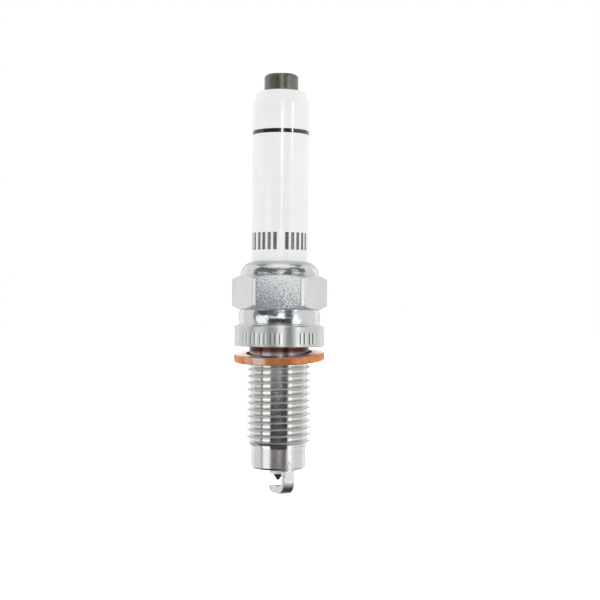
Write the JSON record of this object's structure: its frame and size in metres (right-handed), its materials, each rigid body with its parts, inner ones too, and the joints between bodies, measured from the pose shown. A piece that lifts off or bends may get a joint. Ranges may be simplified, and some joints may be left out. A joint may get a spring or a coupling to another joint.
{
  "type": "spark plug",
  "caption": "Resistor spark plug with a smooth white insulator, hexagon shell, captive copper gasket, threaded reach and a bent ground electrode.",
  "frame": {"origin": "on the plug's axis, in the plane of the flange face that the gasket seals against", "axes": "+Z along the axis towards the terminal; -Y is the side that one hexagon flat faces, within 2 degrees"},
  "size_m": [0.0178, 0.0171, 0.0782],
  "materials": {
    "plated_steel": "bright plated, turned",
    "glazed_alumina": "gloss white glaze",
    "dark_steel": "satin, oiled",
    "seal_glass": "copper-filled, opaque",
    "resistor_ceramic": "matt black",
    "nickel_alloy": "satin",
    "nickel_alloy_dark": "satin, dark",
    "iridium": "bright",
    "copper": "bright",
    "packing_steel": "mill",
    "talc": "pressed powder",
    "gasket_copper": "satin, turned"
  },
  "bodies": {
    "plug": {"metal_shell": "plated_steel", "insulator": "glazed_alumina", "terminal_stud": "dark_steel", "upper_glass_seal": "seal_glass", "resistor_element": "resistor_ceramic", "lower_glass_seal": "seal_glass", "centre_electrode": "nickel_alloy_dark", "centre_electrode_core": "copper", "spark_tip": "iridium", "ground_electrode": "nickel_alloy", "ground_electrode_core": "copper", "ground_pad": "iridium", "seat_packing": "packing_steel", "lower_packing_ring": "packing_steel", "talc_ring": "talc", "upper_packing_ring": "packing_steel"},
    "gasket": {"gasket": "gasket_copper"}
  },
  "joints": [
    {"name": "gasket_seating", "type": "hinge", "parent": "plug", "child": "gasket", "pos_m": [0.00401, 0.01067, -0.00077], "axis": [-0.9361, 0.3518, 0], "range_deg": [0, 5.4]}
  ]
}
